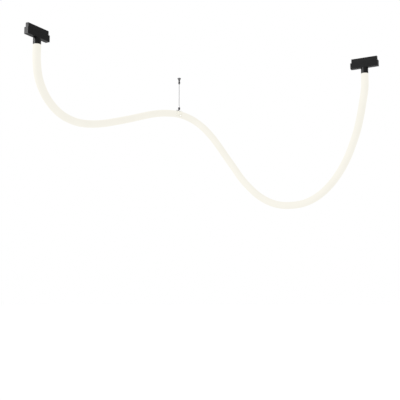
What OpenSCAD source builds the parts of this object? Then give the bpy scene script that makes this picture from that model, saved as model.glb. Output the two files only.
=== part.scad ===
// Flexible light tube for a low-voltage magnetic track.
// Two slim track adapters carry the ends of a silicone tube, and a steel wire from the
// ceiling holds up its crest. Millimetres, +Z up. The origin is the middle of the left
// adapter's top face, and +X runs along that adapter.

/* [Light tube] */
// Outside diameter of the silicone tube
tube_d = 25; // [22:0.5:28]
// Wall thickness of the silicone tube
tube_wall = 2.5; // [1.5:0.25:3.5]
// Thickness of the carrier bar that holds the light strips
carrier_t = 2.4; // [1.6:0.2:4]
// Width of each light strip
strip_w = 10; // [6:1:12]
// Thickness of each light strip
strip_t = 0.5; // [0.3:0.1:0.8]

/* [Track adapters] */
// Length of the adapter's housing
body_l = 96; // [80:1:120]
// Width of the adapter's housing
body_w = 16; // [15.5:0.5:20]
// Height from the housing's underside to the top face
body_h = 35; // [33:0.5:42]
// How much longer than the plug the housing is, at each end
end_step = 3.5; // [2.5:0.5:6]
// Wall thickness of the housing
shell = 1.6; // [1.2:0.1:1.7]
// Thickness of the housing's floor
floor_t = 2.5; // [2.2:0.1:4]
// Width of the plug that goes into the track
plug_w = 12.4; // [12:0.1:12.4]
// Height of the plug that goes into the track
plug_h = 14.5; // [14.5:0.5:17]
// Chamfer along the plug's top edges
plug_chamfer = 1.8; // [0.5:0.1:1.9]
// Length of each magnet
magnet_l = 20; // [12:1:22]
// Width of each magnet
magnet_w = 8; // [5:0.5:8.4]
// Height of each magnet
magnet_h = 4; // [2:0.5:4]
// How far a contact pin stands out of the top face
pin_out = 1.2; // [0.8:0.1:1.6]
// Diameter of a contact pin
pin_d = 2; // [1.5:0.1:2.4]

/* [Swivel collars] */
// Diameter of the collar
collar_d = 24.5; // [23:0.5:28]
// Height of the collar
collar_h = 20.5; // [18:0.5:28]
// Diameter of the hollow stem that the adapter turns on
stem_d = 10; // [9:0.5:10.5]
// Bore of the stem, which the leads pass through
stem_bore = 6; // [5:0.5:7]
// Thickness of the washers above and below the housing's floor
washer_t = 0.5; // [0.3:0.1:1]
// Length of the end plug inside the tube
plug_in_tube = 15; // [10:1:20]

/* [Suspension] */
// Diameter of the suspension wire
wire_d = 1.5; // [1:0.1:1.6]
// Diameter of the ceiling base where it meets the ceiling
base_d = 13; // [11:0.5:20]
// Height of the ceiling base
base_h = 8.5; // [8:0.5:9]
// Diameter of the ceiling base's screw hole
base_hole_d = 3.5; // [2.5:0.1:4.5]
// Length of the tube clip
clip_l = 20; // [18:1:26]
// Wall thickness of the tube clip
clip_wall = 1.3; // [1:0.1:1.6]
// Opening of the tube clip, in degrees
clip_gap = 100; // [80:5:120]
// Diameter of the swivel socket at the wire's lower end
socket_d = 7.5; // [7.2:0.1:8.5]

/* [Hidden] */
$fn = 64;
SIDES = ["left", "right"];
PINS = ["a", "b"];
SIDE_NODES = ["housing", "contact_block", "magnets", "circuit_board", "leads",
    "housing_screws", "floor_washer", "swivel_stem", "stem_ring", "collar_washer",
    "collar", "collar_screw", "end_plug",
    "contact_pin_a", "contact_pin_b", "pin_spring_a", "pin_spring_b"];
TUBE_NODES = ["silicone_tube", "strip_carrier", "light_strips", "light_chips"];
HANG_NODES = ["tube_clip", "clip_saddle", "swivel_socket", "socket_cap", "wire_ferrule",
    "suspension_wire", "gripper_barrel", "gripper_spring", "gripper_balls",
    "release_nozzle", "ceiling_base"];

// Route of the tube's centreline, from the left collar's lower face to the right one's.
// It drops into a shallow dip, rises over the crest at the clip and falls into a deep dip.
ROUTE = [
    [0, 0, -56], [1, 0, -108], [16, 3, -158], [48, 6, -199], [93, 11, -227], [140, 16, -242],
    [185, 19, -248], [230, 23, -248], [276, 25, -243], [325, 26, -234], [378, 25, -221],
    [435, 19, -204], [491, 8, -186], [546, -7, -167], [596, -28, -150], [642, -53, -140],
    [685, -86, -140], [715, -121, -156], [737, -156, -185], [753, -186, -221],
    [764, -214, -262], [772, -241, -304], [780, -268, -345], [787, -295, -386],
    [793, -325, -421], [798, -357, -451], [802, -395, -475], [804, -438, -490],
    [805, -486, -494], [804, -537, -488], [802, -587, -467], [798, -632, -433],
    [795, -668, -392], [793, -697, -346], [792, -718, -300], [791, -736, -252],
    [790, -749, -204], [789, -759, -156], [788, -768, -106], [788, -769, -56]
];
last = len(ROUTE) - 1;
clip_at = 16; // the route's point under the suspension wire

// Clearances
slide_gap = 0.1; // a part that drops into a pocket
run_gap = 0.05; // radial gap of a running fit or a bonded joint
tube_gap = 1; // between the carrier's edges and the tube's bore
clip_play = 1.4; // between the clip's straight bore and the curved tube
joint_gap = 0.4; // between a turning part and the wall beside it
strip_gap = 0.4; // under a light strip, and under a chip
little = 0.01;

// Heights are built up from the tube's ends
tube_end_z = ROUTE[0][2];
housing_z = tube_end_z + collar_h + washer_t;
top_z = housing_z + body_h;
adapter_xy = [[ROUTE[0][0], ROUTE[0][1]], [ROUTE[last][0], ROUTE[last][1]]];
adapter_yaw = [0, -90];

// Inside the adapter, measured down from the top face
plug_l = body_l - 2 * end_step;
skirt_h = 3.5;
skirt_l = body_l - 2 * (shell + slide_gap);
skirt_w = body_w - 2 * (shell + slide_gap);
block_bottom = -(plug_h + skirt_h);
board_t = 1.2;
board_l = body_l - 24.4;
board_w = plug_w - 2.4;
board_top = -12;
hollow_top = -6;
post_x = body_l / 2 - 8;
post_d = 6;
screw_d = 2.2;
screw_head_d = 4;
screw_end = -8;
magnet_x = body_l / 2 - 18;
pin_spot = [[-8, -2.6], [8, 2.6]];
pin_collar_d = pin_d + 1.2;
pin_bore_d = pin_d + 1.4;
pin_stop = -2.5;
pin_collar_t = 1;
spring_wire = 0.35;

// Swivel stack, measured up from the housing's underside
stem_ring_t = 1;
stem_ring_d = min(body_w - 2 * shell - 2 * joint_gap, stem_d + 2);
stem_top = floor_t + washer_t + stem_ring_t + 1;
stem_neck_d = stem_d - 1;
collar_roof = 6;
socket_bore_d = collar_d - 5.5;
plug_bore_d = 8;
tube_in_d = tube_d - 2 * tube_wall;
plug_in_d = tube_in_d - 2;
lead_d = 1.6;
lead_gap = 2.4;
lead_end_z = tube_end_z - plug_in_tube - 2;
collar_screw_d = 3;
collar_screw_z = collar_h - collar_roof - 6;

// Suspension, placed from the route's point under the wire
crest = ROUTE[clip_at];
along = unit(ROUTE[clip_at + 1] - ROUTE[clip_at - 1]);
clip_yaw = atan2(along[1], along[0]);
clip_tilt = asin(-along[2]);
clip_r = tube_d / 2 + clip_play;
clip_outer_r = clip_r + clip_wall;
saddle_r = clip_outer_r + run_gap;
saddle_t = 1;
stud_h = 2.9; // from the saddle's top to the middle of its ball
ball_r = 1.8;
ball_h = saddle_r + saddle_t + stud_h;
ball_z = crest[2] + ball_h / cos(clip_tilt);
clip_shift = -ball_h * tan(clip_tilt);
socket_bottom = ball_z - 1.3;
socket_h = 5.6;
cap_h = 3;
ferrule_d = wire_d + 1;
bead_d = 4;
bead_bottom = ball_z + ball_r + 0.7;
bead_top = socket_bottom + socket_h - slide_gap;
ferrule_top = bead_top + 8;
wire_bottom = bead_bottom + 0.9;
ceiling_z = top_z;
base_roof = 3.2;
spigot_d = 5.2;
spigot_h = 3;
neck_end = ceiling_z - base_h - 7.5;
barrel_end = neck_end - 5.5;
nozzle_end = barrel_end - 3.5;
nozzle_d = 2.9;
wire_bore_d = wire_d + 4 * run_gap;
grip_roof = ceiling_z - base_h - 1;
grip_r = 2.2;
grip_ball_r = 0.65;
ball_line = grip_roof - 3.7;
wedge_h = 5; // height of the cone that wedges the balls against the wire
wedge_top = ball_line + 0.7;
wire_top = ceiling_z - base_h + 0.5;

// ---------- points along the route ----------

function unit(v) = v / norm(v);

function blend(a, b, c, d, t) = 0.5 * (2 * b + (c - a) * t + (2 * a - 5 * b + 4 * c - d) * t * t
    + (3 * b - a - 3 * c + d) * t * t * t);

function spot(u) = let (i = min(floor(u), last - 1))
    blend(ROUTE[max(i - 1, 0)], ROUTE[i], ROUTE[i + 1], ROUTE[min(i + 2, last)], u - i);

function heading(u) = u <= 0 ? [0, 0, -1] : u >= last ? [0, 0, 1]
    : unit(spot(min(u + 0.1, last)) - spot(max(u - 0.1, 0)));

// One ring at each point of the route, and close ones inside the clip, where the fit matters
near_clip = [for (k = [-4:4]) clip_at + k * 0.1];
stations = concat([for (i = [0:clip_at - 1]) i], near_clip, [for (i = [clip_at + 1:last]) i]);

// Each ring's side direction is the last one's, laid square to the new heading, so that the
// rings don't twist on the way. The first direction only has to lie across the first heading.
function square_to(a, t) = unit(a - (a * t) * t);

function side_ways(headings, first) = [for (j = 0, a = square_to(first, headings[0]);
    j < len(headings); j = j + 1, a = j < len(headings) ? square_to(a, headings[j]) : a) a];

function ring(c, t, a, shape) = let (b = cross(t, a)) [for (p = shape) c + p[0] * a + p[1] * b];

function rings(centres, headings, shape, first) = let (a = side_ways(headings, first))
    [for (j = [0:len(centres) - 1]) each ring(centres[j], headings[j], a[j], shape)];

function circle_points(r, n) = [for (k = [0:n - 1]) r * [cos(360 * k / n), sin(360 * k / n)]];

function box_points(w, lo, hi) = [[w / 2, lo], [w / 2, hi], [-w / 2, hi], [-w / 2, lo]];

// Triangles between rings of n points, where ring j starts at index first + j * n
function skin(rings, n, first, flip) = [for (j = [0:rings - 2]) for (k = [0:n - 1])
    let (a = first + j * n + k, b = first + j * n + (k + 1) % n)
    each (flip ? [[a, b, b + n], [a, b + n, a + n]] : [[a, a + n, b + n], [a, b + n, b]])];

module sweep(centres, headings, shape, first = [1, 1, 0]) {
    n = len(shape);
    m = len(centres);
    polyhedron(
        points = rings(centres, headings, shape, first),
        faces = concat(skin(m, n, 0, false), [[for (k = [0:n - 1]) k]],
            [[for (k = [n - 1:-1:0]) (m - 1) * n + k]]));
}

module pipe(centres, headings, outer, inner, first = [1, 1, 0]) {
    n = len(outer);
    m = len(centres);
    polyhedron(
        points = concat(rings(centres, headings, outer, first),
            rings(centres, headings, inner, first)),
        faces = concat(skin(m, n, 0, false), skin(m, n, m * n, true),
            [for (k = [0:n - 1]) let (l = (k + 1) % n) [k, l, m * n + l, m * n + k]],
            [for (k = [0:n - 1]) let (l = (k + 1) % n, e = (m - 1) * n)
                [e + l, e + k, m * n + e + k, m * n + e + l]]));
}

function path_heading(path, j) = unit(path[min(j + 1, len(path) - 1)] - path[max(j - 1, 0)]);

module wire_along(path, d, sides) {
    sweep(path, [for (j = [0:len(path) - 1]) path_heading(path, j)], circle_points(d / 2, sides));
}

// A round-wire compression spring whose ends reach from z0 to z1 above the origin
module coil(z0, z1, mean_r, wire, turns) {
    steps = 8;
    rise = z1 - z0 - wire;
    wire_along([for (k = [0:turns * steps]) [mean_r * cos(360 * k / steps),
        mean_r * sin(360 * k / steps), z0 + wire / 2 + rise * k / (turns * steps)]], wire, 6);
}

// ---------- shared shapes ----------

module rounded(l, w, r) {
    square([l - 2 * r, w], center = true);
    square([l, w - 2 * r], center = true);
    for (x = [-1, 1]) for (y = [-1, 1]) translate([x * (l / 2 - r), y * (w / 2 - r)]) circle(r);
}

module slab(l, w, z0, z1, r = 1) {
    translate([0, 0, z0]) linear_extrude(z1 - z0) rounded(l, w, r);
}

module rod(d, z0, z1) {
    translate([0, 0, z0]) cylinder(d = d, h = z1 - z0);
}

module washer(od, id, z0, z1) {
    difference() {
        rod(od, z0, z1);
        rod(id, z0 - 1, z1 + 1);
    }
}

// Stands a part on the adapter of one side, whose top face is the local z = 0
module on_adapter(side) {
    translate([adapter_xy[side][0], adapter_xy[side][1], top_z])
        rotate([0, 0, adapter_yaw[side]]) children();
}

// ---------- track adapter, with z = 0 at its top face ----------

module housing() {
    inner_l = body_l - 2 * shell;
    inner_w = body_w - 2 * shell;
    color("#1c1d1f") difference() {
        union() {
            difference() {
                slab(body_l, body_w, -body_h, -plug_h);
                slab(inner_l, inner_w, floor_t - body_h, 1 - plug_h, 0.6);
            }
            for (x = [-1, 1]) translate([x * post_x, 0, 0])
                rod(post_d, floor_t - body_h - little, block_bottom);
        }
        rod(stem_d + 2 * run_gap, -body_h - 1, floor_t - body_h + 1);
        for (x = [-1, 1]) translate([x * post_x, 0, 0]) {
            rod(screw_d + 0.4, -body_h - 1, block_bottom + 1);
            translate([0, 0, -body_h - little])
                cylinder(d1 = screw_head_d + 0.2, d2 = screw_d + 0.4, h = 1.2);
        }
    }
}

module contact_block() {
    color("#232427") difference() {
        union() {
            difference() {
                slab(plug_l, plug_w, -plug_h - little, 0);
                for (y = [-1, 1]) translate([0, y * plug_w / 2, 0]) rotate([45, 0, 0])
                    cube([plug_l + 2, plug_chamfer * sqrt(2), plug_chamfer * sqrt(2)], center = true);
            }
            slab(skirt_l, skirt_w, block_bottom, -plug_h, 0.6);
        }
        difference() {
            union() {
                slab(board_l - 2, board_w - 2, board_top - 1, hollow_top, 0.5);
                slab(board_l + 2 * slide_gap, board_w + 2 * slide_gap, block_bottom - 1, board_top, 0.5);
            }
            for (p = pin_spot) translate([p[0], p[1], 0]) rod(pin_bore_d + 2, board_top, 0);
        }
        for (x = [-1, 1]) {
            translate([x * magnet_x, 0, 0])
                slab(magnet_l + 2 * slide_gap, magnet_w + 2 * slide_gap, -magnet_h - 0.2, 1, 0.4);
            translate([x * post_x, 0, 0]) rod(screw_d, block_bottom - 1, screw_end);
        }
        for (p = pin_spot) translate([p[0], p[1], 0]) {
            rod(pin_d + 2 * run_gap, -4, 1);
            rod(pin_bore_d, board_top - 1, pin_stop);
        }
    }
}

module magnets() {
    color("#b9bcc2") for (x = [-1, 1]) translate([x * magnet_x, 0, 0])
        slab(magnet_l, magnet_w, -magnet_h - 0.2, -0.2, 0.3);
}

module circuit_board() {
    parts = [[-26, 9, 6, 3.4], [-14, 7, 5, 2.2], [16, 8, 6.4, 2.6], [27, 6, 4, 1.6]];
    color("#1f5c3a") {
        slab(board_l, board_w, board_top - board_t, board_top, 0.5);
        for (p = parts) translate([p[0] - p[1] / 2, -p[2] / 2, board_top - board_t - p[3]])
            cube([p[1], p[2], p[3] + little]);
    }
}

module leads() {
    from = board_top - board_t;
    to = lead_end_z - top_z;
    inner = lead_gap / 2;
    color("#e6e2d8") for (s = [-1, 1])
        wire_along([[s * 3, 0, from], [s * 3, 0, from - 2.5], [s * 2.7, 0, from - 5],
            [s * 2, 0, from - 8], [s * 1.4, 0, from - 11], [s * inner, 0, from - 14],
            [s * inner, 0, (from - 14 + to) / 2], [s * inner, 0, to]], lead_d, 8);
}

module housing_screws() {
    head_h = 1;
    color("#2b2c2f") for (x = [-1, 1]) translate([x * post_x, 0, 0]) difference() {
        union() {
            rod(screw_d, 0.2 - body_h, screw_end - 0.5);
            translate([0, 0, 0.1 - body_h]) cylinder(d1 = screw_head_d, d2 = screw_d, h = head_h);
        }
        for (turn = [0, 90]) translate([0, 0, -body_h]) rotate([0, 0, turn])
            cube([2, 0.5, 1.2], center = true);
    }
}

module contact_pin() {
    color("#d2a94a") {
        rod(pin_d, pin_stop, pin_out - pin_d / 2);
        translate([0, 0, pin_out - pin_d / 2]) sphere(d = pin_d);
        rod(pin_collar_d, pin_stop - pin_collar_t, pin_stop);
        rod(pin_d * 0.7, pin_stop - pin_collar_t - 2, pin_stop - pin_collar_t);
    }
}

module pin_spring() {
    color("#c9ccd1") coil(board_top, pin_stop - pin_collar_t, (pin_d * 0.7 + spring_wire) / 2 + 0.2,
        spring_wire, 6);
}

// ---------- swivel, with z = 0 at the housing's underside ----------

module swivel_stem() {
    ring_z = floor_t + washer_t;
    color("#9ea2a8") difference() {
        rod(stem_d, -washer_t - collar_roof, stem_top);
        rod(stem_bore, -washer_t - collar_roof - 1, stem_top + 1);
        washer(stem_d + 1, stem_neck_d, ring_z, ring_z + stem_ring_t);
    }
}

module stem_ring() {
    ring_z = floor_t + washer_t;
    color("#6f7379") washer(stem_ring_d, stem_neck_d, ring_z, ring_z + stem_ring_t);
}

module floor_washer() {
    color("#d8d5cc") washer(stem_ring_d, stem_d + 2 * run_gap, floor_t, floor_t + washer_t);
}

module collar_washer() {
    color("#3a3b3e") washer(body_w - 1, stem_d + 2 * run_gap, -washer_t, 0);
}

// The collar, its screw and the plug in the tube, with z = 0 at the tube's end
module collar() {
    edge = 0.8;
    color("#1c1d1f") difference() {
        rotate_extrude() polygon([[0, 0], [collar_d / 2, 0], [collar_d / 2, collar_h - edge],
            [collar_d / 2 - edge, collar_h], [0, collar_h]]);
        rod(stem_d + 2 * run_gap, 0, collar_h + 1);
        rod(socket_bore_d, -1, collar_h - collar_roof);
        translate([0, 0, collar_screw_z]) rotate([-90, 0, 0])
            rod(collar_screw_d + 2 * run_gap, 0, collar_d);
    }
}

module collar_screw() {
    from = socket_bore_d / 2;
    to = collar_d / 2 - 0.3;
    hex_d = 1.7;
    hex_deep = 1.2;
    color("#55585d") translate([0, 0, collar_screw_z]) rotate([-90, 0, 0]) difference() {
        rod(collar_screw_d, from, to);
        translate([0, 0, to - hex_deep]) cylinder(d = hex_d, h = 2 * hex_deep, $fn = 6);
    }
}

module end_plug() {
    bore_r = plug_bore_d / 2;
    upper_r = socket_bore_d / 2 - run_gap;
    upper_h = collar_h - collar_roof - slide_gap;
    color("#e9e6dd") rotate_extrude() polygon([[bore_r, -plug_in_tube],
        [plug_in_d / 2, -plug_in_tube], [plug_in_d / 2, 0], [upper_r, 0], [upper_r, upper_h],
        [bore_r, upper_h]]);
}

// ---------- light tube ----------

// Where the carrier starts and ends, as a share of the route's first and last steps
inside_from = 0.42;
inner_stations = concat([inside_from], [for (u = stations) if (u > 0 && u < last) u],
    [last - inside_from]);
inner_centres = [for (u = inner_stations) spot(u)];
inner_headings = [for (u = inner_stations) heading(u)];
inner_sides = side_ways(inner_headings, [1, 1, 0]);
carrier_w = tube_in_d - 2 * tube_gap;
tube_sides = 12;
same_area = sqrt(2 * PI / (tube_sides * sin(360 / tube_sides))); // twelve sides for a circle

module silicone_tube() {
    color("#f5f1e4") pipe([for (u = stations) spot(u)], [for (u = stations) heading(u)],
        circle_points(tube_d / 2 * same_area, tube_sides),
        circle_points(tube_in_d / 2, tube_sides));
}

module strip_carrier() {
    half = carrier_t / 2;
    color("#f7f6f2") sweep(inner_centres, inner_headings, box_points(carrier_w, -half, half));
}

// A strip lies a hair above the carrier, and its chips above the strip, on the straight
// stretches between two rings, so that none of them cuts the bent face under it
module light_strips() {
    base = carrier_t / 2 + strip_gap;
    color("#f2e6c0") {
        sweep(inner_centres, inner_headings, box_points(strip_w, base, base + strip_t));
        sweep(inner_centres, inner_headings, box_points(strip_w, -base - strip_t, -base));
    }
}

module light_chips() {
    chip_w = 2.8;
    chip_t = 0.8;
    base = carrier_t / 2 + 2 * strip_gap + strip_t;
    color("#f4d35e") for (j = [1:len(inner_centres) - 2]) {
        way = inner_centres[j + 1] - inner_centres[j];
        if (norm(way) > 10 * chip_w) {
            c = inner_centres[j] + way / 2;
            t = unit(way);
            ends = [c - chip_w / 2 * t, c + chip_w / 2 * t];
            side = inner_sides[j] + inner_sides[j + 1];
            sweep(ends, [t, t], box_points(chip_w, base, base + chip_t), side);
            sweep(ends, [t, t], box_points(chip_w, -base - chip_t, -base), side);
        }
    }
}

// ---------- suspension ----------

// Turns a part from the clip's own frame, with X along the tube and Z up, to its place
module at_clip() {
    translate(crest) rotate([0, clip_tilt, clip_yaw]) translate([clip_shift, 0, 0]) children();
}

module on_wire() {
    translate([crest[0], crest[1], 0]) children();
}

module tube_shell(r0, r1, l) {
    rotate([0, 90, 0]) translate([0, 0, -l / 2]) difference() {
        cylinder(r = r1, h = l);
        translate([0, 0, -1]) cylinder(r = r0, h = l + 2);
    }
}

module tube_clip() {
    reach = 2 * clip_outer_r;
    color("#dfe7ea", 0.45) difference() {
        tube_shell(clip_r, clip_outer_r, clip_l);
        rotate([90, 0, 90]) translate([0, 0, -clip_l]) linear_extrude(2 * clip_l)
            polygon([[0, 0], reach * [-sin(clip_gap / 2), -cos(clip_gap / 2)],
                reach * [0, -1.5], reach * [sin(clip_gap / 2), -cos(clip_gap / 2)]]);
    }
}

module clip_saddle() {
    arm_w = 2;
    arm_reach = 7.5;
    neck_d = 2;
    color("#a9adb3") {
        intersection() {
            tube_shell(saddle_r, saddle_r + saddle_t, clip_l);
            linear_extrude(saddle_r + 5) union() {
                for (turn = [-45, 45]) rotate([0, 0, turn])
                    square([2 * arm_reach, arm_w], center = true);
                circle(d = socket_d - 1);
            }
        }
        rod(neck_d, saddle_r + saddle_t / 2, ball_h);
        translate([0, 0, ball_h]) sphere(r = ball_r);
    }
}

module swivel_socket() {
    edge = 1.1; // the chamfer that lets the socket lean over the saddle
    mouth_r = 1.9;
    lip_r = 1.45;
    lip_h = 0.3;
    color("#8f9399") difference() {
        translate([0, 0, socket_bottom]) rotate_extrude() polygon([[0, 0], [socket_d / 2 - edge, 0],
            [socket_d / 2, edge], [socket_d / 2, socket_h], [0, socket_h]]);
        translate([0, 0, ball_z]) sphere(r = ball_r + run_gap);
        translate([0, 0, socket_bottom - little]) cylinder(r1 = mouth_r, r2 = lip_r, h = lip_h);
        rod(bead_d + 2 * slide_gap, bead_bottom - slide_gap, socket_bottom + socket_h + 1);
    }
}

module socket_cap() {
    from = socket_bottom + socket_h;
    color("#8f9399") washer(socket_d, ferrule_d + 2 * run_gap, from, from + cap_h);
}

module wire_ferrule() {
    color("#b4b8be") difference() {
        union() {
            rod(ferrule_d, bead_top - little, ferrule_top);
            rod(bead_d, bead_bottom, bead_top);
        }
        rod(wire_d, wire_bottom, ferrule_top + 1);
    }
}

module suspension_wire() {
    color("#c3c6ca") rod(wire_d, wire_bottom, wire_top);
}

module ceiling_base() {
    rim_h = 1.2;
    foot_r = spigot_d / 2 + 0.8;
    color("#9a9ea4") translate([0, 0, ceiling_z]) difference() {
        rotate_extrude() polygon([[0, 0], [base_d / 2, 0], [base_d / 2, -rim_h],
            [foot_r, -base_h], [0, -base_h]]);
        rod(base_hole_d, -base_roof - 1, 1);
        rod(spigot_d + 2 * run_gap, -base_h - 1, -base_roof);
    }
}

module gripper_barrel() {
    neck_d = 5.8;
    head_d = 7.4;
    wedge_bottom = wedge_top - wedge_h;
    color("#5b5e63") difference() {
        union() {
            rod(spigot_d, ceiling_z - base_h - little, ceiling_z - base_h + spigot_h);
            rod(neck_d, neck_end - little, ceiling_z - base_h);
            rod(head_d, barrel_end, neck_end);
        }
        rod(wire_bore_d, barrel_end - 1, ceiling_z);
        rod(2 * grip_r, wedge_top, grip_roof);
        translate([0, 0, wedge_bottom])
            cylinder(r1 = nozzle_d / 2 + run_gap, r2 = grip_r, h = wedge_h + little);
        rod(nozzle_d + 2 * run_gap, barrel_end - 1, wedge_bottom + little);
    }
}

module gripper_balls() {
    touch = 0.03;
    spread = wire_d / 2 + grip_ball_r + touch;
    color("#c9ccd1") for (turn = [0, 120, 240]) rotate([0, 0, turn])
        translate([spread, 0, ball_line]) sphere(r = grip_ball_r);
}

module gripper_spring() {
    coil_r = 1.6;
    color("#c9ccd1") coil(ball_line + grip_ball_r + 2 * little, grip_roof, coil_r, spring_wire, 3);
}

module release_nozzle() {
    top = ball_line - grip_ball_r - run_gap;
    flange_t = 0.7;
    flange_d = nozzle_d + 0.6;
    color("#7b7f85") difference() {
        union() {
            rod(nozzle_d, nozzle_end, top);
            rod(flange_d, top - flange_t, top);
        }
        rod(wire_bore_d, nozzle_end - 1, top + 1);
    }
}

// ---------- nodes ----------

for (i = [0, 1]) {
    s = SIDES[i];
    on_adapter(i) housing();
    on_adapter(i) contact_block();
    on_adapter(i) magnets();
    on_adapter(i) circuit_board();
    on_adapter(i) leads();
    on_adapter(i) housing_screws();
    for (p = [0, 1]) {
        on_adapter(i) translate([pin_spot[p][0], pin_spot[p][1], 0]) contact_pin();
        on_adapter(i) translate([pin_spot[p][0], pin_spot[p][1], 0]) pin_spring();
    }
    on_adapter(i) translate([0, 0, -body_h]) floor_washer();
    on_adapter(i) translate([0, 0, -body_h]) swivel_stem();
    on_adapter(i) translate([0, 0, -body_h]) stem_ring();
    on_adapter(i) translate([0, 0, -body_h]) collar_washer();
    on_adapter(i) translate([0, 0, tube_end_z - top_z]) collar();
    on_adapter(i) translate([0, 0, tube_end_z - top_z]) collar_screw();
    on_adapter(i) translate([0, 0, tube_end_z - top_z]) end_plug();
}
silicone_tube();
strip_carrier();
light_strips();
light_chips();
at_clip() tube_clip();
at_clip() clip_saddle();
on_wire() swivel_socket();
on_wire() socket_cap();
on_wire() wire_ferrule();
on_wire() suspension_wire();
on_wire() gripper_barrel();
on_wire() gripper_spring();
on_wire() gripper_balls();
on_wire() release_nozzle();
on_wire() ceiling_base();
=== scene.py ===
# %% [markdown]
# # A flexible tube of light on two track adapters
#
# The object is a silicone tube, lit from inside, that hangs in a long curve. Two slim black
# adapters carry its ends in a ceiling's magnetic track, and a steel wire holds up its crest.
# The engineering model is already there, piece by piece and at its real size. This lesson
# builds the looks around it: smooth sweeps for what is soft, broken edges for what is turned
# or moulded, and a finish of its own for every material.

from math import cos, pi, radians, sin

import bmesh
import bpy
from mathutils import Matrix, Vector


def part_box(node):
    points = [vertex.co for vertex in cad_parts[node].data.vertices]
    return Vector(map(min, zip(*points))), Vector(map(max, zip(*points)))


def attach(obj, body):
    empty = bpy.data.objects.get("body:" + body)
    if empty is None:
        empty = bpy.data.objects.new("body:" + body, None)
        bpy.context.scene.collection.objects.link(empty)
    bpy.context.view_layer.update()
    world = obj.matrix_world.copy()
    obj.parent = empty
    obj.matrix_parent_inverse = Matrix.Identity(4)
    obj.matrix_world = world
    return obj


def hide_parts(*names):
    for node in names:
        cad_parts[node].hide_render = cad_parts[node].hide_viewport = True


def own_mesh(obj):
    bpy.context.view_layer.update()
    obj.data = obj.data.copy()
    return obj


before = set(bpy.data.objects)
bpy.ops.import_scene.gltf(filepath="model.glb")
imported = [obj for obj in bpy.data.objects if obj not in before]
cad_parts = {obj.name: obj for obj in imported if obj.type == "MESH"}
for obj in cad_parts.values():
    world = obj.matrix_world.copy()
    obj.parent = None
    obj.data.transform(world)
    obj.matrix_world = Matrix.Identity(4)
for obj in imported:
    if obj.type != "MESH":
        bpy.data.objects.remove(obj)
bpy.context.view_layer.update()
MM = 0.001

# %% [markdown]
# ## The camera
#
# A hanging light is mostly seen from below and a little to one side, where its curve opens out
# and the near adapter shows its end. A camera can be turned with Euler angles or aimed at an
# object. It is easiest to read as a person would stand: a place in the room, the azimuth of
# the direction looked in, and a pitch upwards.

# %% Camera
CAMERA_AT = Vector((-1.609, -1.485, -0.777))
CAMERA_AZIMUTH = radians(29.7)
CAMERA_PITCH = radians(6.65)
LENS = 65.6
FARTHEST_SEEN = 60

camera_data = bpy.data.cameras.new("camera")
camera_data.lens = LENS
camera_data.clip_end = FARTHEST_SEEN
camera = bpy.data.objects.new("camera", camera_data)
bpy.context.scene.collection.objects.link(camera)
level = cos(CAMERA_PITCH)
look = Vector((cos(CAMERA_AZIMUTH) * level, sin(CAMERA_AZIMUTH) * level, sin(CAMERA_PITCH)))
camera.location = CAMERA_AT
camera.rotation_mode = "QUATERNION"
camera.rotation_quaternion = look.to_track_quat("-Z", "Y")
bpy.context.scene.camera = camera
print("camera looks along", [round(x, 3) for x in look])

# %% [markdown]
# ## The route of the tube
#
# A tube like this is a spring that holds itself in round bends, so its centreline is one
# smooth curve without corners. Bezier handles would need tuning at every point. A Catmull-Rom
# curve goes through its points and takes each direction from the neighbours, so the short
# list of chosen points below is all it needs. They run from the left collar, through the
# shallow dip, over the crest under the wire and through the deep dip to the right collar.

# %% Route
ROUTE = [Vector(point) for point in (
    (0, 0, -0.056), (0.001, 0, -0.108), (0.016, 0.003, -0.158), (0.048, 0.006, -0.199),
    (0.093, 0.011, -0.227), (0.140, 0.016, -0.242), (0.185, 0.019, -0.248),
    (0.230, 0.023, -0.248), (0.276, 0.025, -0.243), (0.325, 0.026, -0.234),
    (0.378, 0.025, -0.221), (0.435, 0.019, -0.204), (0.491, 0.008, -0.186),
    (0.546, -0.007, -0.167), (0.596, -0.028, -0.150), (0.642, -0.053, -0.140),
    (0.685, -0.086, -0.140), (0.715, -0.121, -0.156), (0.737, -0.156, -0.185),
    (0.753, -0.186, -0.221), (0.764, -0.214, -0.262), (0.772, -0.241, -0.304),
    (0.780, -0.268, -0.345), (0.787, -0.295, -0.386), (0.793, -0.325, -0.421),
    (0.798, -0.357, -0.451), (0.802, -0.395, -0.475), (0.804, -0.438, -0.490),
    (0.805, -0.486, -0.494), (0.804, -0.537, -0.488), (0.802, -0.587, -0.467),
    (0.798, -0.632, -0.433), (0.795, -0.668, -0.392), (0.793, -0.697, -0.346),
    (0.792, -0.718, -0.300), (0.791, -0.736, -0.252), (0.790, -0.749, -0.204),
    (0.789, -0.759, -0.156), (0.788, -0.768, -0.106), (0.788, -0.769, -0.056))]


def on_route(u):
    """The point of the curve at u, counted in steps from one point of the route to the next."""
    i = min(int(u), len(ROUTE) - 2)
    a, b = ROUTE[max(i - 1, 0)], ROUTE[i]
    c, d = ROUTE[i + 1], ROUTE[min(i + 2, len(ROUTE) - 1)]
    t = u - i
    return 0.5 * (2 * b + (c - a) * t + (2 * a - 5 * b + 4 * c - d) * t**2
                  + (3 * b - a - 3 * c + d) * t**3)


def stretch(start, end, per_step=8):
    """Points along the curve from start to end."""
    count = round((end - start) * per_step)
    return [on_route(start + (end - start) * k / count) for k in range(count + 1)]


centreline = stretch(0, len(ROUTE) - 1)
run = sum((b - a).length for a, b in zip(centreline, centreline[1:]))
print("the tube is", round(run, 3), "m long from collar to collar")

# %% [markdown]
# ## Keeping a piece
#
# Every piece goes the same way: a bmesh is shaped in place, written to a mesh whose object
# stays at the origin, given a finish, and tied to the body that it moves with. A face could
# be set flat or smooth one by one. Smooth shading with sharp edges by angle does it at once,
# and keeps flat faces apart from round ones.

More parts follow.
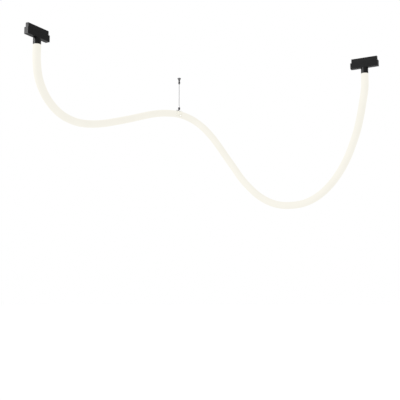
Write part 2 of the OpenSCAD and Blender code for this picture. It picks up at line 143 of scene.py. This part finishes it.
# %% Keeping a piece
def keep(bm, name, body, finish, nodes, smooth_angle=32):
    """Writes bm to a new piece that rides on body and stands for the engineering nodes."""
    mesh = bpy.data.meshes.new(name)
    bm.to_mesh(mesh)
    bm.free()
    for face in mesh.polygons:
        face.use_smooth = True
    mesh.set_sharp_from_angle(angle=radians(smooth_angle))
    for one in finish if isinstance(finish, list) else [finish]:
        mesh.materials.append(one)
    piece = bpy.data.objects.new(name, mesh)
    bpy.context.scene.collection.objects.link(piece)
    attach(piece, body)
    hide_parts(*nodes)
    return piece


# %% [markdown]
# ## Shader maths in plain expressions
#
# A node tree is easier to read as a sum than as a web of wires. The class below wraps one
# socket. Adding or multiplying two of them adds a Math node, so `0.5 + 0.1 * grain` in a
# finish is a short chain of nodes. All other nodes come from one method, which takes the
# node's type, its settings and what goes into its sockets.

# %% A socket that can be reckoned with
class Reading:
    """A socket's value, which can be added, taken away and multiplied."""

    def __init__(self, finish, socket):
        self.finish, self.socket = finish, socket

    def maths(self, operation, first, second):
        return self.finish.node("ShaderNodeMath", {"operation": operation}, {0: first, 1: second})

    def __add__(self, other):
        return self.maths("ADD", self, other)

    def __sub__(self, other):
        return self.maths("SUBTRACT", self, other)

    def __rsub__(self, other):
        return self.maths("SUBTRACT", other, self)

    def __mul__(self, other):
        return self.maths("MULTIPLY", self, other)

    __radd__ = __add__
    __rmul__ = __mul__


print("sums of sockets become Math nodes")

# %% [markdown]
# ## A finish under construction
#
# Each finish is one material. Noise gives it grain at a real size, a ramp picks out the part
# of a noise that matters, a blend turns that into colour, and a bump turns it into relief.
# What is the same all over goes straight to the shader's own sockets.

# %% Finishes
class Finish:
    """A material under construction, with its shader and the place on the piece."""

    def __init__(self, name, colour, roughness, uniform=None):
        self.material = bpy.data.materials.new(name)
        self.material.use_nodes = True
        self.tree = self.material.node_tree
        self.shader = self.tree.nodes["Principled BSDF"]
        self.set({"Base Color": (*colour, 1), "Roughness": roughness, **(uniform or {})})

    def node(self, kind, settings=None, inputs=None, output=0):
        """Adds a node, with its settings first, and returns one of its outputs."""
        made = self.tree.nodes.new(kind)
        for name, value in (settings or {}).items():
            setattr(made, name, value)
        for name, value in (inputs or {}).items():
            self.feed(made.inputs[name], value)
        return Reading(self, made.outputs[output])

    def feed(self, socket, value):
        if isinstance(value, Reading):
            self.tree.links.new(value.socket, socket)
        else:
            socket.default_value = value

    def set(self, values):
        """Feeds the shader's own sockets, by name."""
        for socket, value in values.items():
            self.feed(self.shader.inputs[socket], value)

    def place(self):
        """Where a point lies, in metres."""
        return self.node("ShaderNodeTexCoord", output="Object")

    def grain(self, size, detail=3, at=None):
        """Noise with lumps of a size in metres, from 0 to 1."""
        return self.node("ShaderNodeTexNoise", {"noise_dimensions": "3D"},
                         {"Vector": at or self.place(), "Scale": 1 / size, "Detail": detail})

    def ramp(self, reading, low, high):
        """Turns the stretch of reading from low to high into 0 to 1."""
        return self.node("ShaderNodeMapRange", {"clamp": True},
                         {"Value": reading, "From Min": low, "From Max": high})

    def blend(self, share, first, second):
        """A colour between first and second."""
        return self.node("ShaderNodeMix", {"data_type": "RGBA"},
                         {0: share, 6: (*first, 1), 7: (*second, 1)}, output=2)

    def bump(self, height, depth, strength=1.0):
        """Relief of a depth in metres, which goes to the shader's normal."""
        relief = self.node("ShaderNodeBump", None,
                           {"Height": height, "Distance": depth, "Strength": strength})
        self.set({"Normal": relief})


print("finishes are written as expressions")

# %% [markdown]
# ## Black powder coat and moulded black plastic
#
# The adapters and collars are coated matt black. A coat like that isn't one flat tone: it has
# a fine orange-peel relief, a slightly uneven gloss, and it is rubbed a little paler where
# hands have held it. The plastic block that goes into the track is moulded with a spark-eroded
# grain, finer and drier than the coat. A low specular level keeps all of them black in a
# white room.

# %% Black finishes
RUBBED_PATCH = 0.018


def black_coat(name, tone, roughness, peel_size, peel_depth, gloss):
    black = (tone, tone, tone * 1.06)
    finish = Finish(name, black, roughness, {"Specular IOR Level": gloss})
    peel = finish.grain(peel_size, detail=2)
    rubbed = finish.ramp(finish.grain(RUBBED_PATCH, detail=4), 0.45, 0.75)
    pale = (tone * 1.9, tone * 1.9, tone * 2)
    finish.set({"Base Color": finish.blend(rubbed * 0.6, black, pale),
                "Roughness": roughness + 0.1 * rubbed - 0.06 * peel})
    finish.bump(peel, peel_depth)
    return finish.material


powder_black = black_coat("powder_black", 0.0032, 0.44, 0.0006, 0.00003, 0.09)
collar_black = black_coat("collar_black", 0.0035, 0.42, 0.0005, 0.00002, 0.12)
moulded_black = black_coat("moulded_black", 0.0032, 0.46, 0.0003, 0.00002, 0.1)
print("three blacks, from satin to dry")

# %% [markdown]
# ## Metals
#
# Turned parts show fine rings round their axis, drawn wire shows streaks along it, and plated
# parts are smooth with faint clouds. One function makes all three: the noise is stretched by a
# Mapping node, so that its lumps become rings or streaks. The scale of the mapping is large
# along the direction in which the pattern is to be fine.

# %% Metal finishes
METAL_CLOUD = 0.012


def metal(name, colour, roughness, squeeze=(1, 1, 1), size=0.002, depth=0.000004):
    finish = Finish(name, colour, roughness, {"Metallic": 1.0})
    laid = finish.node("ShaderNodeMapping", {"vector_type": "POINT"},
                       {"Vector": finish.place(), "Scale": squeeze})
    lines = finish.grain(size, detail=3, at=laid)
    cloud = finish.grain(METAL_CLOUD, detail=2)
    darker = tuple(0.82 * c for c in colour)
    finish.set({"Base Color": finish.blend(cloud, darker, colour),
                "Roughness": roughness + 0.16 * (lines - 0.5) + 0.06 * cloud})
    finish.bump(lines, depth)
    return finish.material


# The barrel, nozzle and swivel are bright nickel plate; their near black base is a painted dark
# reflection.
dark_nickel = metal("dark_nickel", (0.036, 0.036, 0.038), 0.34, squeeze=(1, 1, 14))
turned_nickel = metal("turned_nickel", (0.16, 0.16, 0.165), 0.32, squeeze=(1, 1, 14))
bright_plate = metal("bright_plate", (0.34, 0.34, 0.35), 0.28, squeeze=(1, 1, 6))
saddle_plate = metal("saddle_plate", (0.3, 0.3, 0.31), 0.34)
magnet_plate = metal("magnet_plate", (0.66, 0.66, 0.68), 0.2, depth=0.000002)
gold_plate = metal("gold_plate", (0.85, 0.62, 0.28), 0.22, squeeze=(1, 1, 10))
spring_wire = metal("spring_wire", (0.55, 0.55, 0.57), 0.3, size=0.0006)
rope_wire = metal("rope_wire", (0.04, 0.04, 0.042), 0.4, squeeze=(6, 6, 1), size=0.0015)
black_oxide = metal("black_oxide", (0.03, 0.03, 0.034), 0.42, size=0.0008)
print("nine metals")

# %% [markdown]
# ## Silicone that glows
#
# The tube is milky silicone, about as thick as a garden hose, with light chips inside. Enough
# light scatters in the wall that no single chip can be told from outside. Real scattering
# through a wall is slow to render and adds nothing at this distance, so the skin has a soft
# cream emission instead. Its base is dark and dry, because a lit tube is seen by its own
# light: a pale base would take the lamp's shading as well and look like painted wood. The
# extruder's die has left a fine drag, and the glow is a trace uneven.

# %% Glowing silicone
SKIN = (0.05, 0.049, 0.045)
SKIN_TONES = (0.047, 0.046, 0.042), (0.053, 0.052, 0.048)
GLOW_TONES = (0.835, 0.812, 0.735), (0.87, 0.848, 0.775)


def glowing_silicone():
    finish = Finish("glowing_silicone", SKIN, 0.7,
                    {"Specular IOR Level": 0.03, "Emission Strength": 1.0})
    uneven = finish.grain(0.06, detail=2)
    drag = finish.grain(0.0012, detail=3)
    finish.set({"Base Color": finish.blend(uneven, *SKIN_TONES),
                "Emission Color": finish.blend(uneven, *GLOW_TONES),
                "Roughness": 0.66 + 0.1 * drag})
    finish.bump(drag, 0.00002, 0.6)
    return finish.material


silicone = glowing_silicone()
print("silicone, cream and lit")

# %% [markdown]
# ## Plastics and film
#
# The end plugs and the carrier inside the tube are white plastic. The strips are thin film
# with copper under it, and the chips are capped with yellow phosphor. The clip round the tube
# is clear and almost free of colour. Moulded plastic is never quite even, so each tone is
# mottled a little, and a tenth of that size gives the relief.

# %% Plastic finishes
def plastic(name, colour, roughness, mottle=0.06, size=0.004, depth=0.00001, uniform=None):
    finish = Finish(name, colour, roughness, uniform)
    cloud = finish.grain(size, detail=3)
    darker = tuple((1 - mottle) * c for c in colour)
    finish.set({"Base Color": finish.blend(cloud, darker, colour),
                "Roughness": roughness + 0.08 * (cloud - 0.5)})
    finish.bump(finish.grain(size * 0.1, detail=2), depth)
    return finish.material


white_plastic = plastic("white_plastic", (0.8, 0.79, 0.75), 0.5)
nylon = plastic("nylon", (0.72, 0.7, 0.64), 0.45)
film = plastic("strip_film", (0.82, 0.76, 0.58), 0.35, mottle=0.2, size=0.002)
phosphor = plastic("chip_phosphor", (0.85, 0.62, 0.12), 0.3,
                   uniform={"Emission Strength": 0.4, "Emission Color": (1, 0.8, 0.45, 1)})
insulation = plastic("lead_insulation", (0.78, 0.74, 0.66), 0.55)
black_chip = plastic("board_chip", (0.02, 0.02, 0.022), 0.4)
clear_plastic = plastic("clear_plastic", (0.985, 0.985, 0.96), 0.06, mottle=0.01, depth=0.000003,
                        uniform={"Transmission Weight": 0.97, "IOR": 1.2})
print("seven plastics")

# %% [markdown]
# ## The board's lacquer
#
# A circuit board is green lacquer over copper traces, which show as paler lines and a faint
# relief. The traces could be drawn one by one, but the board sits in the dark behind its
# shell. A fine brick pattern has the same straight, stepped lines and costs one node.

# %% Board lacquer
LACQUER, OVER_TRACES = (0.02, 0.14, 0.07), (0.05, 0.24, 0.1)
TRACE_SCALE = 260.0


def board_lacquer():
    finish = Finish("board_lacquer", LACQUER, 0.3)
    traces = finish.node("ShaderNodeTexBrick", {"offset": 0.5},
                         {"Vector": finish.place(), "Scale": TRACE_SCALE, "Mortar Size": 0.03},
                         output=1)
    finish.set({"Base Color": finish.blend(traces, LACQUER, OVER_TRACES),
                "Roughness": 0.28 + 0.1 * finish.grain(0.003)})
    finish.bump(traces, 0.00003)
    return finish.material


lacquer = board_lacquer()
print("the board's lacquer")

# %% [markdown]
# ## Sweeping a round section along a path
#
# Tube, wire, springs and leads are all a circle drawn along a line. A spin or a row of
# extrusions could do it, but would have to be kept from twisting by hand. A curve object with
# a bevel does both, and turns to a mesh afterwards, so that it can get a wall or be joined.

# %% Sweeping
MERGED_WITHIN = 1e-6


def swept_mesh(paths, radius, sides, capped=True):
    """The mesh of a circle swept along each path, with its doubles merged."""
    curve = bpy.data.curves.new("sweep", "CURVE")
    curve.dimensions = "3D"
    curve.twist_mode = "MINIMUM"
    curve.bevel_depth = radius
    curve.bevel_resolution = sides // 2
    curve.use_fill_caps = capped
    for path in paths:
        spline = curve.splines.new("POLY")
        spline.points.add(len(path) - 1)
        for knot, point in zip(spline.points, path):
            knot.co = (*point, 1)
    carrier = bpy.data.objects.new("sweep", curve)
    bpy.context.scene.collection.objects.link(carrier)
    bpy.context.view_layer.update()
    mesh = bpy.data.meshes.new_from_object(carrier.evaluated_get(
        bpy.context.evaluated_depsgraph_get()))
    bpy.data.objects.remove(carrier)
    bm = bmesh.new()
    bm.from_mesh(mesh)
    bmesh.ops.remove_doubles(bm, verts=bm.verts, dist=MERGED_WITHIN)
    bmesh.ops.recalc_face_normals(bm, faces=bm.faces)
    bpy.data.meshes.remove(mesh)
    return bm


print("round sections can be swept")

# %% [markdown]
# ## The silicone tube
#
# The outer skin is swept first, open at both ends, and a Solidify modifier then gives it its
# wall inwards, so the tube is hollow as the real one is. Its ends butt against the collars.

# %% The tube
TUBE_D = 0.025
TUBE_WALL = 0.0025

skin = swept_mesh([centreline], TUBE_D / 2, 40, capped=False)
tube = keep(skin, "tube", "light_tube", silicone, ["silicone_tube"], 60)
wall = tube.modifiers.new("wall", "SOLIDIFY")
wall.thickness = TUBE_WALL
wall.offset = -1
print("tube has", len(tube.data.polygons), "faces before its wall")

# %% [markdown]
# ## Finding the way along the curve
#
# The tube holds a flat bar, and a flat section has to know which way is up. For each point of
# the curve the next cell finds the direction on, the way across and the way up. Each way
# across is the last one, straightened against the new direction, so the bar never twists.

# %% Frames along the curve
PLUG_IN_TUBE = 0.42
inner_line = stretch(PLUG_IN_TUBE, len(ROUTE) - 1 - PLUG_IN_TUBE, per_step=7)


def frames_along(points):
    """For each point the direction on, the way across and the way up, without twist."""
    across = Vector((1, 1, 0))
    frames = []
    for k in range(len(points)):
        onward = (points[min(k + 1, len(points) - 1)] - points[max(k - 1, 0)]).normalized()
        across = (across - across.dot(onward) * onward).normalized()
        frames.append((points[k], onward, across, onward.cross(across)))
    return frames


inner_frames = frames_along(inner_line)
print(len(inner_frames), "frames between the end plugs")

# %% [markdown]
# ## Carrier and light strips
#
# A flat carrier runs through the tube and holds a light strip on each face. All three are bars
# of a rectangular section. The section's loop is laid on every frame and bridged to the last
# one, and the two ends are closed, which leaves a clean solid.

# %% Carrier and strips
CARRIER_W, CARRIER_T = 0.018, 0.0024
STRIP_W, STRIP_T, STRIP_GAP = 0.010, 0.0005, 0.0004


def ribbon(width, low, high):
    """A flat bar along the inner line, from low to high above its middle."""
    bm = bmesh.new()
    last = None
    for point, onward, across, up in inner_frames:
        corners = [bm.verts.new(point + across * x * width / 2 + up * z)
                   for x, z in ((1, low), (1, high), (-1, high), (-1, low))]
        loop = [bm.edges.new((corners[k], corners[k - 1])) for k in range(4)]
        if last:
            bmesh.ops.bridge_loops(bm, edges=last + loop)
        else:
            bmesh.ops.contextual_create(bm, geom=corners)
        last = loop
    bmesh.ops.contextual_create(bm, geom=corners)
    bmesh.ops.recalc_face_normals(bm, faces=bm.faces)
    return bm


def joined(parts):
    """One bmesh out of several, which are freed."""
    whole = bmesh.new()
    for part in parts:
        mesh = bpy.data.meshes.new("part")
        part.to_mesh(mesh)
        part.free()
        whole.from_mesh(mesh)
        bpy.data.meshes.remove(mesh)
    return whole


half = CARRIER_T / 2
strip_low = half + STRIP_GAP
carrier = keep(ribbon(CARRIER_W, -half, half), "carrier", "light_tube", white_plastic,
               ["strip_carrier"], 60)
strips = keep(joined([ribbon(STRIP_W, strip_low, strip_low + STRIP_T),
                      ribbon(STRIP_W, -strip_low - STRIP_T, -strip_low)]),
              "strips", "light_tube", film, ["light_strips"], 60)
print("one carrier and two strips")

# %% [markdown]
# ## Light chips
#
# The strips carry a chip every 15 mm or so. A chip is one small block with broken edges, laid
# on every second frame, above and below. Instances would be lighter still, but they would not
# move with the tube as one piece.

# %% Chips
CHIP = Vector((0.0028, 0.0028, 0.0008))
CHIP_EDGE = 0.00015


def chip_block():
    bm = bmesh.new()
    bmesh.ops.create_cube(bm, size=1)
    bmesh.ops.scale(bm, vec=CHIP, verts=bm.verts)
    bmesh.ops.bevel(bm, geom=bm.edges[:], offset=CHIP_EDGE, segments=1, affect="EDGES",
                    profile=0.5, material=-1)
    return bm


chip_parts = []
for point, onward, across, up in inner_frames[2:-2:2]:
    for way in (1, -1):
        chip = chip_block()
        spot = point + up * way * (strip_low + STRIP_T + STRIP_GAP + CHIP.z / 2)
        turn = Matrix((onward, across, up)).transposed().to_4x4()
        bmesh.ops.transform(chip, matrix=Matrix.Translation(spot) @ turn, verts=chip.verts)
        chip_parts.append(chip)
print(len(chip_parts), "chips")
chips = keep(joined(chip_parts), "chips", "light_tube", phosphor, ["light_chips"])

# %% [markdown]
# ## The tube as a cord
#
# The tube is a fixed length of something flexible.

# %% [markdown]
# ## Broken edges
#
# No cast, turned or moulded edge is a knife edge: it is broken by a few tenths of a
# millimetre, and that narrow face is what catches the light. The engineering nodes have
# perfect corners, so a copy of each is merged, its flat faces are cleaned of their triangles,
# and every edge that is sharper than a set angle is bevelled. The holes and recesses stay
# exactly where they are. Smooth shading would let the narrow faces tilt the light on the wide
# ones, so a Weighted Normal modifier gives the wide faces the say.

# %% Breaking the edges of a copy
FLAT_WITHIN = radians(0.4)


def ease(bm, width, segments=2, angle=35):
    """Bevels every edge of bm that is sharper than the angle."""
    sharp = [e for e in bm.edges if len(e.link_faces) == 2
             and e.calc_face_angle(0) > radians(angle)]
    bmesh.ops.bevel(bm, geom=sharp, offset=width, offset_type="OFFSET", segments=segments,
                    profile=0.5, affect="EDGES", clamp_overlap=True, material=-1)
    return bm


def copy_of(node):
    """A merged copy of an engineering node, with its flat faces whole."""
    bm = bmesh.new()
    bm.from_mesh(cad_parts[node].data)
    bmesh.ops.remove_doubles(bm, verts=bm.verts, dist=MERGED_WITHIN)
    bmesh.ops.dissolve_limit(bm, angle_limit=FLAT_WITHIN, verts=bm.verts, edges=bm.edges)
    return bm


def eased(node, body, finish, width, segments=2, angle=35, flat=True):
    """Keeps a copy of the node with broken edges, and shades its wide faces flat."""
    bm = ease(copy_of(node), width, segments, angle)
    piece = keep(bm, node + "_eased", body, finish, [node])
    if flat:
        shading = piece.modifiers.new("flat_faces", "WEIGHTED_NORMAL")
        shading.keep_sharp = True


print("edges can be broken")

# %% [markdown]
# ## Adapters, collars and what is turned inside them
#
# Both ends are made alike, from the housing, which is the largest part and has the widest
# broken edge, down to the washers, which are stamped and hardly have one.

# %% Adapters and collars
SIDES = ("left", "right")
for side in SIDES:
    adapter = side + "_adapter"
    eased(side + "_housing", adapter, powder_black, 0.0004, segments=3)
    eased(side + "_contact_block", adapter, moulded_black, 0.0003)
    eased(side + "_magnets", adapter, magnet_plate, 0.0002)
    eased(side + "_collar", "light_tube", collar_black, 0.0003, segments=3)
    eased(side + "_collar_washer", "light_tube", moulded_black, 0.00008)
    eased(side + "_collar_screw", "light_tube", black_oxide, 0.00012)
    eased(side + "_end_plug", "light_tube", white_plastic, 0.0003)
    eased(side + "_stem_ring", "light_tube", bright_plate, 0.0001)
    eased(side + "_floor_washer", adapter, nylon, 0.00008)
    eased(side + "_housing_screws", adapter, black_oxide, 0.0001)
print("adapters and collars have broken edges")

# %% [markdown]
# ## Springs
#
# A pin that is pressed in shortens its spring, so the springs are true coils, swept along a helix
# that fits the engineering node's own box.

# %% Springs
SPRING_WIRE = 0.35 * MM
STEPS_PER_TURN = 18


def coil(middle, low, high, radius, turns):
    """The path of a compression spring's wire from low to high."""
    rise = high - low - SPRING_WIRE
    steps = turns * STEPS_PER_TURN
    path = []
    for k in range(steps + 1):
        angle = 2 * pi * k / STEPS_PER_TURN
        path.append(middle + Vector((radius * cos(angle), radius * sin(angle),
                                     low + SPRING_WIRE / 2 + rise * k / steps)))
    return path


def spring(name, node, body, turns):
    low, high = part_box(node)
    middle = Vector(((low.x + high.x) / 2, (low.y + high.y) / 2, 0))
    radius = (high.x - low.x - SPRING_WIRE) / 2
    path = coil(middle, low.z, high.z, radius, turns)
    piece = keep(swept_mesh([path], SPRING_WIRE / 2, 8), name, body, spring_wire,
                 [node], 50)
    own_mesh(piece)


print("springs can be wound")

# %% [markdown]
# ## Contact pins and stems
#
# Each adapter takes its power through two gilt pins on springs, and turns on a hollow stem.
# The pins ride on bodies of their own, and the stem stays with the tube.

# %% Pins, their springs and stems
for side in SIDES:
    adapter = side + "_adapter"
    for pin in "ab":
        eased(f"{side}_contact_pin_{pin}", f"{side}_pin_{pin}", gold_plate, 0.0001)
        spring(f"{side}_spring_{pin}", f"{side}_pin_spring_{pin}", adapter, 6)
    eased(side + "_swivel_stem", "light_tube", bright_plate, 0.00015)
print("springs, pins and stems")

# %% [markdown]
# ## Circuit boards
#
# The board and the components under it are one engineering node, but they are not of one
# material. Splitting them would make more pieces. A second material slot is enough: every face
# that lies below the board's underside is a component's.

# %% Boards
CHIPS_START = 1.3 * MM


def make_board(side):
    bm = ease(copy_of(side + "_circuit_board"), 0.0001, segments=1)
    low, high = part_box(side + "_circuit_board")
    for face in bm.faces:
        face.material_index = int(face.calc_center_median().z < high.z - CHIPS_START)
    keep(bm, side + "_board", side + "_adapter", [lacquer, black_chip],
         [side + "_circuit_board"])


print("components start", CHIPS_START, "m under a board's top")

# %% [markdown]
# ## Leads
#
# Two insulated leads start apart under the board, come together and run down the hollow stem.
# Their bends are given once, in millimetres across and down from the board, for one lead. The
# other mirrors it, and the right adapter's pair is turned with its adapter.

# %% Leads
LEAD_D = 1.6 * MM
LEAD_BENDS = ((3, 0), (3, -2.5), (2.7, -5), (2, -8), (1.4, -11), (1.2, -14), (1.2, -30))


def make_leads(side):
    """Two leads that start apart under the board and run close together down the stem."""
    low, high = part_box(side + "_leads")
    turn = Matrix.Rotation(radians(-90 if side == "right" else 0), 3, "Z")
    middle = Vector(((low.x + high.x) / 2, (low.y + high.y) / 2, high.z))
    paths = []
    for way in (1, -1):
        points = [middle + turn @ Vector((way * x * MM, 0, z * MM)) for x, z in LEAD_BENDS]
        points.append(Vector((points[-1].x, points[-1].y, low.z)))
        paths.append(points)
    keep(swept_mesh(paths, LEAD_D / 2, 12), side + "_lead_pair", side + "_adapter",
         insulation, [side + "_leads"], 50)


for side in SIDES:
    make_board(side)
    make_leads(side)
print("boards and leads")

# %% [markdown]
# ## The suspension
#
# From the ceiling down come a small cone, a gripper that wedges three balls against the wire,
# and the wire, which ends in a crimped sleeve inside a swivel. A ball stud under the swivel
# stands on a sprung steel saddle over a clear clip. The turned parts keep their engineering
# shape with broken edges. The bent saddle and the clip have hardly a flat face, so their
# shading stays as it is.

eased("ceiling_base", "gripper", turned_nickel, 0.00025)
# These parts take the nickel whose near black base is a painted dark reflection.
for node, body, broken in (("gripper_barrel", "gripper", 0.0002),
                           ("release_nozzle", "nozzle", 0.00015),
                           ("swivel_socket", "swivel", 0.00025),
                           ("socket_cap", "swivel", 0.00025)):
    eased(node, body, dark_nickel, broken)
eased("gripper_balls", "nozzle", bright_plate, 0.00001, angle=60)
eased("wire_ferrule", "wire", bright_plate, 0.00015)
eased("clip_saddle", "clip", saddle_plate, 0.00015, flat=False)
eased("tube_clip", "clip", clear_plastic, 0.0003, flat=False)
spring("grip_spring", "gripper_spring", "gripper", 3)
print("the suspension's hard parts")

# %% [markdown]
# ## The wire rope
#
# The wire is a rope: six strands laid round a seventh. One rod with a bump map would do from
# afar, but its outline would be straight. Seven strands, each swept along its own helix, cost
# little and show the lay from near by.

# %% The wire rope
ROPE_D = 1.5 * MM
ROPE_PITCH = 9 * MM
OUTER_STRANDS = 6
STEPS_PER_PITCH = 16


def make_rope():
    """Six strands round a seventh, from the ferrule up to the gripper."""
    low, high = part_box("suspension_wire")
    x, y = (low.x + high.x) / 2, (low.y + high.y) / 2
    strand = ROPE_D / 6
    count = round((high.z - low.z) / ROPE_PITCH * STEPS_PER_PITCH)
    paths = [[Vector((x, y, low.z)), Vector((x, y, high.z))]]
    for outer in range(OUTER_STRANDS):
        path = []
        for k in range(count + 1):
            z = low.z + (high.z - low.z) * k / count
            angle = 2 * pi * (outer / OUTER_STRANDS + (z - low.z) / ROPE_PITCH)
            path.append(Vector((x + 2 * strand * cos(angle), y + 2 * strand * sin(angle), z)))
        paths.append(path)
    rope = keep(swept_mesh(paths, strand, 8), "rope", "wire", rope_wire,
                ["suspension_wire"], 50)
    return rope


rope = make_rope()
print("rope has", len(rope.data.polygons), "faces")

# %% [markdown]
# ## The floor
#
# The room is a plain white studio. Its pale floor lies well below the light and has a trace of
# light of its own, so that it meets the white world without a horizon. The standard view shows
# colours as they are mixed.

# %% Floor
FLOOR_AT = (0.4, -0.4, -2.4)
FLOOR_REACH = 60
scene = bpy.context.scene
scene.view_settings.view_transform = "Standard"

floor_bm = bmesh.new()
bmesh.ops.create_grid(floor_bm, x_segments=2, y_segments=2, size=FLOOR_REACH)
bmesh.ops.translate(floor_bm, vec=FLOOR_AT, verts=floor_bm.verts)
floor_mesh = bpy.data.meshes.new("floor")
floor_bm.to_mesh(floor_mesh)
floor_bm.free()
floor_mesh.materials.append(plastic("floor_paint", (0.9, 0.9, 0.9), 0.9, mottle=0.01, size=0.3,
                                    uniform={"Emission Color": (1, 1, 1, 1),
                                             "Emission Strength": 0.12}))
floor = bpy.data.objects.new("floor", floor_mesh)
scene.collection.objects.link(floor)
print("the floor lies", -FLOOR_AT[2], "m below the ceiling")

# %% [markdown]
# ## The light
#
# A world of even white light gives soft shading from every side. It alone would leave the
# black parts without a shape, so one large soft lamp stands behind and to the left of the
# object and lights the near end of the left adapter.

# %% Light
KEY_AT = Vector((-2.2, 2.0, 1.1))
KEY_SIZE = 1.6
KEY_WATTS = 190

world = bpy.data.worlds.new("studio")
world.use_nodes = True
world.node_tree.nodes["Background"].inputs["Color"].default_value = (1, 1, 1, 1)
world.node_tree.nodes["Background"].inputs["Strength"].default_value = 1.0
scene.world = world

key = bpy.data.lights.new("key", "AREA")
key.shape = "DISK"
key.size = KEY_SIZE
key.energy = KEY_WATTS
key_lamp = bpy.data.objects.new("key", key)
key_lamp.location = KEY_AT
key_lamp.rotation_mode = "QUATERNION"
key_lamp.rotation_quaternion = (-KEY_AT).to_track_quat("-Z", "Y")
scene.collection.objects.link(key_lamp)
print("studio is lit")
